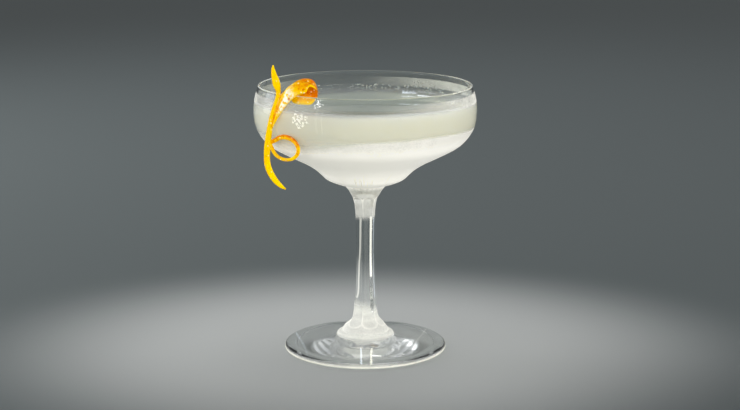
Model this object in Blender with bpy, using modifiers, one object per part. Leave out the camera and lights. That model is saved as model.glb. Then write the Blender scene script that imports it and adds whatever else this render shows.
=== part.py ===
"""A pale cocktail in a faceted-stem coupe, with a twist of orange peel over the rim.

Metres, +Z up. The origin is the middle of the foot's underside, on the surface that the glass
stands on. The front of the glass faces -Y, and the peel hangs at its front left.
"""

import math

import bmesh
import bpy
import numpy as np
from mathutils import Matrix

# Glass, driving dimensions
GLASS_HEIGHT = 0.118
RIM_RADIUS = 0.0465
WIDEST_RADIUS = 0.0485
FOOT_RADIUS = 0.0358
RIM_WALL = 0.0010
TURNED_STEPS = 48
OUTLINE_TOLERANCE = 0.00012

# Outside of the bowl from just under the lip down to the corner where it meets the stem:
# radius, height and the thickness of the wall behind that point
BOWL_STATIONS = (
    (RIM_RADIUS, 0.11745, RIM_WALL),
    (0.0474, 0.1145, 0.0010),
    (0.0482, 0.1108, 0.0011),
    (WIDEST_RADIUS, 0.1068, 0.0012),
    (0.0481, 0.1020, 0.0013),
    (0.0467, 0.0982, 0.0014),
    (0.0443, 0.0947, 0.0016),
    (0.0407, 0.0915, 0.0017),
    (0.0341, 0.0879, 0.0018),
    (0.0270, 0.0843, 0.0019),
    (0.0223, 0.0813, 0.0021),
    (0.0195, 0.0788, 0.0023),
    (0.0171, 0.0766, 0.0026),
    (0.0133, 0.0749, 0.0028),
    (0.0092, 0.0737, 0.0028),
)
WALLED_STATIONS = 12
FLOOR_STATIONS = ((0.0150, 0.0781), (0.0085, 0.0769), (0.0, 0.0766))

# Round stock that the stem's panels are cut into: radius, height, top to bottom
STEM_TOP = ((0.0087, 0.0730), (0.0074, 0.0714), (0.0064, 0.0697), (0.0057, 0.0683), (0.0053, 0.0660))
STEM_BOTTOM = ((0.0054, 0.0200), (0.0060, 0.0150), (0.0066, 0.0128), (0.0075, 0.0112), (0.0092, 0.0088))

# Stepped collar on the foot: radius and height of the shoulder and the lower edge of each step
UPPER_STEP = ((0.0099, 0.0079), (0.0102, 0.0072), (0.0101, 0.0067))
LOWER_STEP = ((0.0119, 0.0063), (0.0125, 0.0057), (0.0126, 0.0051))

# Foot: a shallow cone with a thick round edge, hollowed a little underneath
FOOT_EDGE_THICKNESS = 0.0021
FOOT_RING_OUTER = 0.0343
FOOT_HOLLOW = ((0.0305, 0.0), (0.0284, 0.0004), (0.0168, 0.0010), (0.0, 0.0012))

# Stem panels: how far each flat lies from the stem's axis, at each height
PANEL_COUNT = 6
FIRST_RIDGE_DEGREES = -102.5
PANEL_STATIONS = (
    (0.0086, 0.0697),
    (0.0063, 0.0690),
    (0.00515, 0.0681),
    (0.0046, 0.0665),
    (0.0041, 0.0635),
    (0.0038, 0.0585),
    (0.0036, 0.0500),
    (0.00354, 0.0420),
    (0.00366, 0.0354),
    (0.0039, 0.0285),
    (0.00425, 0.0215),
    (0.0048, 0.0160),
    (0.0053, 0.0133),
    (0.0062, 0.0116),
    (0.0080, 0.0100),
)
PANEL_CUTTER_REACH = 0.016
PANEL_CUTTER_WIDTH = 0.030

# Drink
DRINK_LEVEL = 0.1100
MENISCUS_CLIMB = 0.0018
MENISCUS_REACH = 0.0032
FIT_GAP = 0.0003

# Orange peel: its thickness, how thin it gets where it is narrow, and the share of a strip's
# width that stays at full thickness between its bevelled edges
PEEL_THICKNESS = 0.0011
THICKNESS_TO_WIDTH = 0.8
FLAT_SHARE = 0.72

# Main strip, from its pointed top, down past the rim, to its tail: place, width, and the
# direction that its skin faces, in degrees seen from above
STRIP_STATIONS = (
    ((-0.0380, -0.0310, 0.1301), 0.0004, -98),
    ((-0.0380, -0.0310, 0.1283), 0.0015, -98),
    ((-0.0376, -0.0314, 0.1260), 0.0024, -98),
    ((-0.0370, -0.0318, 0.1239), 0.0031, -99),
    ((-0.0365, -0.0321, 0.1220), 0.0032, -101),
    ((-0.0361, -0.0321, 0.1205), 0.0026, -103),
    ((-0.0359, -0.0320, 0.1189), 0.0020, -105),
    ((-0.0363, -0.0320, 0.1164), 0.0018, -107),
    ((-0.0372, -0.0319, 0.1137), 0.0018, -108),
    ((-0.0383, -0.0314, 0.1103), 0.0019, -108),
    ((-0.0392, -0.0309, 0.1068), 0.0021, -108),
    ((-0.0399, -0.0304, 0.1026), 0.0025, -107),
    ((-0.0404, -0.0303, 0.0993), 0.0027, -106),
    ((-0.0409, -0.0302, 0.0950), 0.0028, -104),
    ((-0.0411, -0.0300, 0.0915), 0.0026, -102),
    ((-0.0409, -0.0298, 0.0881), 0.0027, -100),
    ((-0.0398, -0.0297, 0.0847), 0.0027, -98),
    ((-0.0377, -0.0296, 0.0812), 0.0024, -97),
    ((-0.0354, -0.0296, 0.0789), 0.0017, -96),
    ((-0.0334, -0.0296, 0.0775), 0.0005, -96),
)

# Curl: one turn that parts from the front of the strip and ends behind it. Its plane is upright
# and runs beside the bowl; at both ends the turn opens out to reach the strip
CURL_CENTRE = (-0.0331, -0.0365, 0.0961)
CURL_RADII = (0.0071, 0.0047)
CURL_PLANE_DEGREES = -38
CURL_START_DEGREES = -195
CURL_END_DEGREES = 166
CURL_START_REACH = 0.30
CURL_END_REACH = 0.30
CURL_REACH_DEGREES = 32
CURL_SETBACK = 0.0014
CURL_WIDTH = 0.0017
CURL_EXTRA_WIDTH_ON_TOP = 0.0003

# Broad leaf that climbs the outside of the bowl and folds over the rim: its front edge, its crest
# and its back edge, from the strip to its round end
FLAP_STATIONS = (
    ((-0.0384, -0.0317, 0.1040), (-0.0388, -0.0315, 0.1041), (-0.0391, -0.0313, 0.1042)),
    ((-0.0358, -0.0340, 0.1088), (-0.0368, -0.0331, 0.1090), (-0.0379, -0.0320, 0.1091)),
    ((-0.0338, -0.0355, 0.1120), (-0.0354, -0.0341, 0.1124), (-0.0370, -0.0323, 0.1124)),
    ((-0.0318, -0.0367, 0.1148), (-0.0339, -0.0349, 0.1159), (-0.0357, -0.0324, 0.1164)),
    ((-0.0297, -0.0380, 0.1170), (-0.0321, -0.0354, 0.1196), (-0.0338, -0.0314, 0.1196)),
    ((-0.0272, -0.0389, 0.1189), (-0.0297, -0.0348, 0.1223), (-0.0315, -0.0308, 0.1178)),
    ((-0.0244, -0.0396, 0.1197), (-0.0267, -0.0344, 0.1241), (-0.0294, -0.0326, 0.1144)),
    ((-0.0228, -0.0382, 0.1220), (-0.0239, -0.0340, 0.1243), (-0.0256, -0.0342, 0.1139)),
    ((-0.0212, -0.0374, 0.1217), (-0.0215, -0.0338, 0.1235), (-0.0221, -0.0348, 0.1142)),
    ((-0.0199, -0.0362, 0.1205), (-0.0199, -0.0344, 0.1211), (-0.0197, -0.0346, 0.1170)),
)
FLAP_FRONT_BULGE = 0.12
FLAP_BACK_BULGE = 0.20

# Colours
CLEAR_GLASS = (0.86, 0.90, 0.89, 1.0)
CLOUDY_DRINK = (0.80, 0.81, 0.72, 1.0)
ORANGE_PEEL = (0.95, 0.45, 0.02, 1.0)


def empty_scene():
    for item in list(bpy.data.objects):
        bpy.data.objects.remove(item, do_unlink=True)


def new_collection(name):
    group = bpy.data.collections.new(name)
    bpy.context.scene.collection.children.link(group)
    return group


def principled(name, colour, roughness, transmission=0.0, ior=1.45):
    material = bpy.data.materials.new(name)
    material.use_nodes = True
    shader = material.node_tree.nodes["Principled BSDF"]
    shader.inputs["Base Color"].default_value = colour
    shader.inputs["Roughness"].default_value = roughness
    shader.inputs["Metallic"].default_value = 0.0
    shader.inputs["Transmission Weight"].default_value = transmission
    shader.inputs["IOR"].default_value = ior
    return material


def smooth_through(points, per_span):
    """A Catmull-Rom curve through the points, of any number of columns, per_span steps a span."""
    points = np.asarray(points, float)
    first = 2 * points[0] - points[1]
    last = 2 * points[-1] - points[-2]
    padded = np.vstack([first, points, last])
    t = (np.arange(per_span) / per_span)[:, None]
    spans = []
    for a, b, c, d in zip(padded[:-3], padded[1:-2], padded[2:-1], padded[3:]):
        spans.append(0.5 * (2 * b + (c - a) * t + (2 * a - 5 * b + 4 * c - d) * t**2
                            + (3 * b - 3 * c + d - a) * t**3))
    return np.vstack([*spans, points[-1:]])


def thinned(points, tolerance):
    """The outline with only the points that keep it within the tolerance of the smooth one."""
    keep = np.zeros(len(points), bool)
    keep[[0, -1]] = True
    open_spans = [(0, len(points) - 1)]
    while open_spans:
        start, end = open_spans.pop()
        along = points[end] - points[start]
        offset = points[start + 1:end] - points[start]
        if len(offset) == 0:
            continue
        away = np.abs(offset[:, 0] * along[1] - offset[:, 1] * along[0]) / np.hypot(*along)
        furthest = int(np.argmax(away))
        if away[furthest] > tolerance:
            middle = start + 1 + furthest
            keep[middle] = True
            open_spans += [(start, middle), (middle, end)]
    return points[keep]


def arc(centre, radius, start_degrees, end_degrees, steps):
    """Points on a circle in the outline's plane."""
    angles = np.radians(np.linspace(start_degrees, end_degrees, steps + 1))
    return np.array(centre) + radius * np.column_stack([np.cos(angles), np.sin(angles)])


def offset_inwards(outline, distance):
    """The outline moved to its right-hand side, seen along its way: into a wall that is run down."""
    way = np.gradient(outline, axis=0)
    way /= np.linalg.norm(way, axis=1)[:, None]
    return outline + np.asarray(distance)[..., None] * np.column_stack([way[:, 1], -way[:, 0]])


def bowl_outside():
    stations = np.array(BOWL_STATIONS)
    return smooth_through(stations[:, :2], 8)


def bowl_inside():
    """The inner wall, from just under the lip down to the middle of the floor."""
    stations = np.array(BOWL_STATIONS)
    wall = offset_inwards(stations[:, :2], stations[:, 2])[:WALLED_STATIONS]
    inside = smooth_through(np.vstack([wall, FLOOR_STATIONS]), 8)
    inside[:, 0] = np.maximum(inside[:, 0], 0.0)
    return inside


def foot_outline():
    """From under the collar, over the round edge, to the middle of the hollow underside."""
    edge_radius = FOOT_EDGE_THICKNESS / 2
    edge = arc((FOOT_RADIUS - edge_radius, edge_radius), edge_radius, 80, -80, 6)
    return np.vstack([edge, ((FOOT_RING_OUTER, 0.0),), smooth_through(FOOT_HOLLOW, 4)])


def glass_outline():
    """The whole turned outline: up the inside from the floor, over the lip, down the outside."""
    inside = bowl_inside()[::-1]
    outside = bowl_outside()
    lip_middle = (inside[-1] + outside[0]) / 2
    lip = arc(lip_middle, np.linalg.norm(outside[0] - inside[-1]) / 2, 180, 0, 4)[1:-1]
    lip[:, 1] += GLASS_HEIGHT - lip[:, 1].max()
    stem = np.vstack([smooth_through(STEM_TOP, 4), smooth_through(STEM_BOTTOM, 4)])
    collar = np.vstack([UPPER_STEP, LOWER_STEP])
    return np.vstack([thinned(inside, OUTLINE_TOLERANCE), lip, thinned(outside, OUTLINE_TOLERANCE),
                      thinned(stem, OUTLINE_TOLERANCE / 2), collar,
                      thinned(foot_outline(), OUTLINE_TOLERANCE / 2)])


def drink_outline():
    """From the middle of the surface, up the meniscus, then down just clear of the inner wall."""
    wall = offset_inwards(thinned(bowl_inside(), OUTLINE_TOLERANCE), FIT_GAP)
    wall[-1, 0] = 0.0
    top = DRINK_LEVEL + MENISCUS_CLIMB
    edge = np.array([np.interp(-top, -wall[:, 1], wall[:, 0]), top])
    share = np.linspace(1, 0, 4)[:, None]
    meniscus = edge - share * [MENISCUS_REACH, 0] - (1 - (1 - share)**2) * [0, MENISCUS_CLIMB]
    return np.vstack([((0.0, DRINK_LEVEL),), meniscus, wall[wall[:, 1] < DRINK_LEVEL]])


def mesh_object(name, vertices, edges, faces, group, material=None):
    mesh = bpy.data.meshes.new(name)
    mesh.from_pydata([tuple(v) for v in vertices], edges, faces)
    made = bpy.data.objects.new(name, mesh)
    group.objects.link(made)
    if material is not None:
        mesh.materials.append(material)
    return made


def turned(name, outline, group, material):
    """A solid of revolution: the outline at +X, swept once round Z."""
    vertices = [(radius, 0.0, height) for radius, height in outline]
    edges = [(i, i + 1) for i in range(len(vertices) - 1)]
    made = mesh_object(name, vertices, edges, [], group, material)
    screw = made.modifiers.new("Turn", "SCREW")
    screw.axis = "Z"
    screw.angle = 2 * math.pi
    screw.steps = TURNED_STEPS
    screw.render_steps = TURNED_STEPS
    screw.use_merge_vertices = True
    screw.merge_threshold = 0.00001
    screw.use_smooth_shade = True
    return made


def panel_cutter(index, group):
    """A slab whose inner side is flat across and follows the panel's stations up the stem."""
    curve = smooth_through(PANEL_STATIONS, 3)
    top, bottom = curve[0, 1], curve[-1, 1]
    outline = np.vstack([curve, ((PANEL_CUTTER_REACH, bottom), (PANEL_CUTTER_REACH, top))])
    count = len(outline)
    half = PANEL_CUTTER_WIDTH / 2
    vertices = [(x, side * half, z) for side in (-1, 1) for x, z in outline]
    sides = [(i, (i + 1) % count, (i + 1) % count + count, i + count) for i in range(count)]
    caps = [tuple(reversed(range(count))), tuple(range(count, 2 * count))]
    made = mesh_object(f"panel_cutter_{index}", vertices, [], sides + caps, group)
    form = bmesh.new()
    form.from_mesh(made.data)
    bmesh.ops.recalc_face_normals(form, faces=form.faces)
    form.to_mesh(made.data)
    form.free()
    middle = FIRST_RIDGE_DEGREES + (index + 0.5) * 360 / PANEL_COUNT
    made.data.transform(Matrix.Rotation(math.radians(middle), 4, "Z"))
    made.hide_render = True
    made.display_type = "WIRE"
    return made


def make_glass(group, cutters):
    clear = principled("clear_glass", CLEAR_GLASS, 0.02, 1.0, 1.5)
    glass = turned("glass", glass_outline(), group, clear)
    for index in range(PANEL_COUNT):
        cut = glass.modifiers.new(f"Panel {index}", "BOOLEAN")
        cut.operation = "DIFFERENCE"
        cut.solver = "EXACT"
        cut.object = panel_cutter(index, cutters)
    return glass


def make_drink(group):
    cloudy = principled("cloudy_drink", CLOUDY_DRINK, 0.08, 0.2, 1.34)
    return turned("drink", drink_outline(), group, cloudy)


def band(name, sections, group, material=None):
    """A closed band through sections of equal point count, with its two ends capped."""
    rows, columns = sections.shape[:2]
    vertices = sections.reshape(-1, 3)
    faces = []
    for row in range(rows - 1):
        for column in range(columns):
            after = (column + 1) % columns
            faces.append((row * columns + column, row * columns + after,
                          (row + 1) * columns + after, (row + 1) * columns + column))
    faces.append(tuple(reversed(range(columns))))
    faces.append(tuple(range((rows - 1) * columns, rows * columns)))
    made = mesh_object(name, vertices, [], faces, group, material)
    form = bmesh.new()
    form.from_mesh(made.data)
    bmesh.ops.recalc_face_normals(form, faces=form.faces)
    bmesh.ops.triangulate(form, faces=[f for f in form.faces if len(f.verts) == 4])
    form.to_mesh(made.data)
    form.free()
    made.data.shade_smooth()
    made.data.set_sharp_from_angle(angle=math.radians(35))
    return made


def strip_sections(places, widths, facing):
    """A six-sided section, flat with bevelled edges, carried along a strip's middle line."""
    along = np.gradient(places, axis=0)
    along /= np.linalg.norm(along, axis=1)[:, None]
    skin = np.column_stack([np.cos(facing), np.sin(facing), 0 * facing])
    skin -= (skin * along).sum(1)[:, None] * along
    skin /= np.linalg.norm(skin, axis=1)[:, None]
    across = np.cross(along, skin)
    depth = np.minimum(PEEL_THICKNESS, THICKNESS_TO_WIDTH * widths) / 2
    flat = FLAT_SHARE
    corners = ((-1, 0), (-flat, 1), (flat, 1), (1, 0), (flat, -1), (-flat, -1))
    return np.stack([places + across * (u * widths / 2)[:, None] + skin * (v * depth)[:, None]
                     for u, v in corners], axis=1)


def main_strip_sections():
    stations = smooth_through([(*place, width, math.radians(facing))
                               for place, width, facing in STRIP_STATIONS], 2)
    return strip_sections(stations[:, :3], stations[:, 3], stations[:, 4])


def curl_sections():
    turn = np.linspace(0, 1, 31)
    degrees = CURL_START_DEGREES + turn * (CURL_END_DEGREES - CURL_START_DEGREES)
    angle = np.radians(degrees)
    near_start = np.clip(1 - (degrees - CURL_START_DEGREES) / CURL_REACH_DEGREES, 0, 1)
    near_end = np.clip(1 - (CURL_END_DEGREES - degrees) / CURL_REACH_DEGREES, 0, 1)
    opened = 1 + CURL_START_REACH * near_start**2 + CURL_END_REACH * near_end**2
    plane = math.radians(CURL_PLANE_DEGREES)
    level = CURL_RADII[0] * opened * np.cos(angle)
    back = CURL_SETBACK * turn**5
    places = np.array(CURL_CENTRE) + np.column_stack([
        level * math.cos(plane) - back * math.sin(plane),
        level * math.sin(plane) + back * math.cos(plane),
        CURL_RADII[1] * opened * np.sin(angle)])
    widths = CURL_WIDTH + CURL_EXTRA_WIDTH_ON_TOP * np.sin(angle)
    return strip_sections(places, widths, np.full(len(turn), plane - math.pi / 2))


def flap_sections():
    """A hooked section through the flap's three rails, with the peel's thickness round it."""
    front, crest, back = [smooth_through([s[i] for s in FLAP_STATIONS], 2) for i in range(3)]
    outwards = crest * [1, 1, 0]
    outwards /= np.linalg.norm(outwards, axis=1)[:, None]
    front_length = np.linalg.norm(crest - front, axis=1)[:, None]
    back_drop = np.clip(crest[:, 2:] - back[:, 2:], 0, None)
    rails = (front, (front + crest) / 2 + FLAP_FRONT_BULGE * front_length * outwards, crest,
             (crest + back) / 2 - FLAP_BACK_BULGE * back_drop * outwards, back)
    sheet = np.array([smooth_through(section, 2) for section in np.stack(rails, axis=1)])
    skin = np.cross(np.gradient(sheet, axis=1), np.gradient(sheet, axis=0))
    skin /= np.linalg.norm(skin, axis=2)[:, :, None]
    half = np.minimum(PEEL_THICKNESS, THICKNESS_TO_WIDTH * front_length)[:, None] / 2
    return np.concatenate([sheet + half * skin, (sheet - half * skin)[:, ::-1]], axis=1)


def make_twist(group, cutters):
    """The strip, with its flap and its curl joined on: one piece of peel."""
    skin = principled("orange_peel", ORANGE_PEEL, 0.35)
    twist = band("orange_twist", main_strip_sections(), group, skin)
    for name, sections in (("twist_flap", flap_sections()), ("twist_curl", curl_sections())):
        branch = band(name, sections, cutters)
        branch.hide_render = True
        branch.display_type = "WIRE"
        join = twist.modifiers.new(name, "BOOLEAN")
        join.operation = "UNION"
        join.solver = "EXACT"
        join.object = branch
    return twist


empty_scene()
cocktail = new_collection("corpse_reviver_cocktail")
cutting_forms = new_collection("cutting_forms")
make_glass(cocktail, cutting_forms)
make_drink(cocktail)
make_twist(cocktail, cutting_forms)
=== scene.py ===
import math

import bpy
import numpy as np
from mathutils import Matrix


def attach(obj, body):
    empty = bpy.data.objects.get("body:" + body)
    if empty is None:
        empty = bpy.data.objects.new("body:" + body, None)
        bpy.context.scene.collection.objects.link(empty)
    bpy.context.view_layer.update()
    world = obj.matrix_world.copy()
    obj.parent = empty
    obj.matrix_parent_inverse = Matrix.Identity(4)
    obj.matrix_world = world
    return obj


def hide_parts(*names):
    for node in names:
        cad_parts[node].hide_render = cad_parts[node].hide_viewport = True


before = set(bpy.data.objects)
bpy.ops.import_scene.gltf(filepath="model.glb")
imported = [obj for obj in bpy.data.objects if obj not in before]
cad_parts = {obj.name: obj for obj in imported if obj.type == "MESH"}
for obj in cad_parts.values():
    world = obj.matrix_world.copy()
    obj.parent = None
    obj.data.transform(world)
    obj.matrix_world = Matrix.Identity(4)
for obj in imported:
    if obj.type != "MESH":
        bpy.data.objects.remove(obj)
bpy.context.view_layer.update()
scene = bpy.context.scene
print("frame loaded:", ", ".join(sorted(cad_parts)))


# Curves and skins, worked out as whole arrays

def metres(table):
    return np.array(table) / 1000


def smoothThrough(points, perSpan):
    # Each span is a cubic in t between its two ends, with slopes of half the step between their neighbours
    padded = np.vstack([2 * points[0] - points[1], points, 2 * points[-1] - points[-2]])
    a, b, c, d = (padded[i:len(padded) - 3 + i, None] for i in range(4))
    t = (np.arange(perSpan) / perSpan)[:, None]
    squared, cubed = 2 * a - 5 * b + 4 * c - d, 3 * b - 3 * c + d - a
    spans = 0.5 * (2 * b + (c - a) * t + squared * t**2 + cubed * t**3)
    return np.vstack([spans.reshape(-1, points.shape[1]), points[-1:]])


def cornersCut(outline, times):
    # Each pass puts points a quarter and three quarters along every edge, which rounds the corners
    for _ in range(times):
        near = 0.75 * outline[:-1] + 0.25 * outline[1:]
        far = 0.25 * outline[:-1] + 0.75 * outline[1:]
        outline = np.vstack([outline[:1], np.stack([near, far], axis=1).reshape(-1, 2), outline[-1:]])
    return outline


def arc(centre, radius, startDegrees, endDegrees, steps):
    # centre + radius * (cos a, sin a)
    angles = np.radians(np.linspace(startDegrees, endDegrees, steps + 1))
    return np.array(centre) + radius * np.column_stack([np.cos(angles), np.sin(angles)])


def between(first, last, count):
    # This many points on the straight line from first to last, without its ends
    share = np.linspace(0, 1, count + 2)[1:-1, None]
    return first + share * (last - first)


def unit(vectors):
    # The same directions, made one long
    return vectors / np.maximum(np.linalg.norm(vectors, axis=-1, keepdims=True), 1e-12)


def polar(points):
    # Their distance from the axis, the angle round it and their height
    x, y, z = np.moveaxis(points, -1, 0)
    return np.hypot(x, y), np.arctan2(y, x), z


def offsetRight(outline, distance):
    # The outline moved to its right-hand side, seen along its way
    way = unit(np.gradient(outline, axis=0))
    return outline + np.asarray(distance)[..., None] * np.column_stack([way[:, 1], -way[:, 0]])


def risen(low, high, value):
    # Smooth step: 3 t^2 - 2 t^3 for t from 0 at low to 1 at high
    t = np.clip((value - low) / (high - low), 0, 1)
    return t * t * (3 - 2 * t)


def past(middle, blur, value):
    # The same step, this much wide and centred on the middle
    return risen(middle - blur / 2, middle + blur / 2, value)


def turned(outline, sides, startDegrees=0.0):
    # Ring i, step j = (r cos a, r sin a, z) for outline point i = (r, z), a = start + j full turns / sides
    angles = math.radians(startDegrees) + np.arange(sides) * 2 * math.pi / sides
    radius, height = outline[:, :1], outline[:, 1:]
    return np.stack([radius * np.cos(angles), radius * np.sin(angles), height + 0 * angles], axis=2)


def skinNormals(rings):
    # The cross product of the steps between rings and round each ring, made one long
    around = np.roll(rings, -1, axis=1) - np.roll(rings, 1, axis=1)
    return unit(np.cross(np.gradient(rings, axis=0), around))


def shellOn(rings, normals, gap, film):
    # There along the rings moved out by gap + film, and back along the rings moved out by gap
    return np.concatenate([rings + normals * (gap + film), (rings + normals * gap)[::-1]])


def skinOver(name, rings, materials, joined=False):
    # Quads between neighbouring rings. Each end closes on a middle point, or the last ring joins the first
    rows, columns = rings.shape[:2]
    corner = np.arange(rows * columns).reshape(rows, columns)
    if joined:
        corner = np.vstack([corner, corner[:1]])
    after = np.roll(corner, -1, axis=1)
    faces = np.stack([corner[:-1], corner[1:], after[1:], after[:-1]], axis=2).reshape(-1, 4).tolist()
    points = rings.reshape(-1, 3)
    if not joined:
        first, last = len(points), len(points) + 1
        points = np.vstack([points, rings[0].mean(0), rings[-1].mean(0)])
        faces += np.column_stack([np.full(columns, first), corner[0], after[0]]).tolist()
        faces += np.column_stack([np.full(columns, last), after[-1], corner[-1]]).tolist()
    return meshPiece(name, points, faces, materials)


def meshPiece(name, points, faces, materials):
    # The mesh of these faces, turned so that they point outwards
    mesh = bpy.data.meshes.new(name)
    mesh.from_pydata(points.tolist(), [], faces)
    mesh.update()
    if enclosedVolume(mesh) < 0:
        mesh.flip_normals()
    mesh.shade_smooth()
    for material in materials:
        mesh.materials.append(material)
    piece = bpy.data.objects.new(name, mesh)
    scene.collection.objects.link(piece)
    return piece


def enclosedVolume(mesh):
    # A third of the sum of face area times centre dotted with normal: negative if the faces point inwards
    product = 1 / 3
    for name, size in (("area", 1), ("center", 3), ("normal", 3)):
        values = np.empty(len(mesh.polygons) * size)
        mesh.polygons.foreach_get(name, values)
        product = product * values.reshape(-1, size)
    return product.sum()


def countFaces(piece):
    print(piece.name + ":", len(piece.data.polygons), "faces")


def pointValues(piece, name, values):
    # One number per point, for the material to read. Middle points at the ends take their ring's mean
    flat = np.concatenate([values.reshape(-1), [values[0].mean(), values[-1].mean()]])
    layer = piece.data.attributes.new(name, "FLOAT", "POINT")
    layer.data.foreach_set("value", flat[:len(piece.data.vertices)].astype(np.float32))


# Materials

def blankMaterial(name, sockets):
    # A material whose shader has these values in its own sockets
    material = bpy.data.materials.new(name)
    material.use_nodes = True
    shader = material.node_tree.nodes["Principled BSDF"]
    for socket, value in sockets.items():
        shader.inputs[socket].default_value = value
    return material, material.node_tree, shader


def addNode(tree, kind, settings=(), **inputs):
    node = tree.nodes.new("ShaderNode" + kind)
    for name, value in dict(settings).items():
        setattr(node, name, value)
    return feed(node, **inputs)


def feed(node, **inputs):
    # Values and links into the sockets of these names, with _ for a space
    for name, value in inputs.items():
        setInput(node.inputs[name.replace("_", " ")], value)
    return node


def setInput(socket, value):
    if isinstance(value, bpy.types.NodeSocket):
        socket.id_data.links.new(value, socket)
    else:
        socket.default_value = value


def maths(operation, *values):
    tree = next(value.id_data for value in values if isinstance(value, bpy.types.NodeSocket))
    node = addNode(tree, "Math", {"operation": operation})
    for socket, value in zip(node.inputs, values):
        setInput(socket, value)
    return node.outputs[0]


def times(first, second):
    return maths("MULTIPLY", first, second)


def oneMinus(value):
    return maths("SUBTRACT", 1.0, value)


def clamped(value):
    return maths("MINIMUM", maths("MAXIMUM", value, 0.0), 1.0)


def objectPlace(tree):
    return addNode(tree, "TexCoord").outputs["Object"]


def readValue(tree, name):
    return addNode(tree, "Attribute", {"attribute_name": name}).outputs["Fac"]


def mixed(factor, first, second):
    node = addNode(factor.id_data, "Mix", {"data_type": "RGBA"}, Factor=factor)
    setInput(node.inputs[6], first)
    setInput(node.inputs[7], second)
    return node.outputs[2]


def noise(place, size, detail=3.0, roughness=0.5):
    settings = {"Scale": 1 / size, "Detail": detail, "Roughness": roughness}
    return addNode(place.id_data, "TexNoise", Vector=place, **settings).outputs["Fac"]


def stepped(value, low, high, kind="SMOOTHSTEP"):
    # Smooth step from 0 at low to 1 at high
    node = addNode(value.id_data, "MapRange", {"interpolation_type": kind}, Value=value)
    return feed(node, From_Min=low, From_Max=high).outputs["Result"]


def lampsPass(shader, tint):
    # Lamps and the light that a matt surface throws on go straight through, a little dimmed
    tree = shader.id_data
    path = addNode(tree, "LightPath")
    straight = maths("MAXIMUM", path.outputs["Is Shadow Ray"], path.outputs["Is Diffuse Ray"])
    either = addNode(tree, "MixShader", Fac=straight)
    setInput(either.inputs[1], shader.outputs[0])
    setInput(either.inputs[2], addNode(tree, "BsdfTransparent", Color=tint).outputs[0])
    setInput(tree.nodes["Material Output"].inputs["Surface"], either.outputs[0])


mistTexture = {
    "grainSize": 0.0007, "grainDetail": 2.0, "cloudSize": 0.006, "runsPerRadian": 26.0,
    "runsPerMetre": 60.0,
    "runsOpen": (0.5, 0.75),  # the noise over which a run clears
    "runsTop": (0.0915, 0.0855),  # heights where they start and where they are full
    "runsBottom": (0.0685, 0.0745),
}


def mistCoverGroup():
    # Cover = mist * (1 + grain * (fine + coarse noise - 1)) * (1 - streaks * upright runs low on the bowl)
    tree = bpy.data.node_groups.new("mistCover", "ShaderNodeTree")
    tree.interface.new_socket(name="Vector", in_out="INPUT", socket_type="NodeSocketVector")
    for name, way in (("Mist", "INPUT"), ("Grain", "INPUT"), ("Streaks", "INPUT"), ("Cover", "OUTPUT")):
        tree.interface.new_socket(name=name, in_out=way, socket_type="NodeSocketFloat")
    given, put = tree.nodes.new("NodeGroupInput").outputs, tree.nodes.new("NodeGroupOutput").inputs
    x, y, z = addNode(tree, "SeparateXYZ", Vector=given["Vector"]).outputs
    around = times(maths("ARCTAN2", y, x), mistTexture["runsPerRadian"])
    unrolled = addNode(tree, "CombineXYZ", X=around, Y=times(z, mistTexture["runsPerMetre"])).outputs[0]
    lines = noise(unrolled, 1.0, mistTexture["grainDetail"])
    within = times(stepped(z, *mistTexture["runsTop"]), stepped(z, *mistTexture["runsBottom"]))
    runs = times(stepped(lines, *mistTexture["runsOpen"]), within)
    dry = oneMinus(times(runs, given["Streaks"]))
    fine = noise(given["Vector"], mistTexture["grainSize"], mistTexture["grainDetail"])
    both = maths("ADD", fine, noise(given["Vector"], mistTexture["cloudSize"]))
    grain = maths("MULTIPLY_ADD", maths("SUBTRACT", both, 1.0), given["Grain"], 1.0)
    tree.links.new(clamped(times(times(given["Mist"], grain), dry)), put["Cover"])
    return tree


mistCover = mistCoverGroup()


def covered(place, grain, streaks):
    mist = readValue(place.id_data, "mist")
    return addNode(place.id_data, "Group", {"node_tree": mistCover}, Vector=place, Mist=mist, Grain=grain,
                   Streaks=streaks).outputs["Cover"]


glassFinish = {
    "sockets": {"Base Color": (0.97, 0.985, 0.98, 1), "Transmission Weight": 1.0, "IOR": 1.5},
    "mistRoughness": 0.42, "grain": 0.6, "streaks": 0.3,
    "lampTint": (0.955, 0.965, 0.96, 1),  # per surface that a lamp's light crosses
}


def clearGlass():
    # Clear, and rougher where the mist is
    material, tree, shader = blankMaterial("clearGlass", glassFinish["sockets"])
    cover = covered(objectPlace(tree), glassFinish["grain"], glassFinish["streaks"])
    feed(shader, Roughness=times(cover, glassFinish["mistRoughness"]))
    lampsPass(shader, glassFinish["lampTint"])
    return material


haze = {
    "sockets": {"Base Color": (0.9, 0.885, 0.825, 1), "Roughness": 0.5, "Emission Strength": 1.0},
    "edgeOn": 1.0,  # how much more it covers where it is seen edge on
    "edgeOnPower": 3.0, "grain": 0.45,
    "breathGrain": 1.1,  # the grain over the drink's level
    "streaks": 0.45,
    "glow": (0.235, 0.228, 0.195, 1),  # painted glow, standing for light that comes through from the drink behind it
    "glowAtRight": (0.26, 0.255, 0.235, 1),
    "glowRight": (0, 0.03),  # where it grows from the one to the other
    "glowTop": (0.0998, 0.0935),  # heights where it starts and where it is full
    "glowBottom": (0.062, 0.076), "noGlow": (0, 0, 0, 1), "collarGlow": (0.17, 0.17, 0.15, 1),
    "collarTop": (0.026, 0.014), "edgeGlow": (0.24, 0.23, 0.15, 1), "edgeTop": (0.004, 0.003),
    "shownAbove": (0.1112, 0.1104),  # heights over which the far wall's mist shows from the inside
    "lampTint": (0.97, 0.97, 0.965, 1),
}


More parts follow.
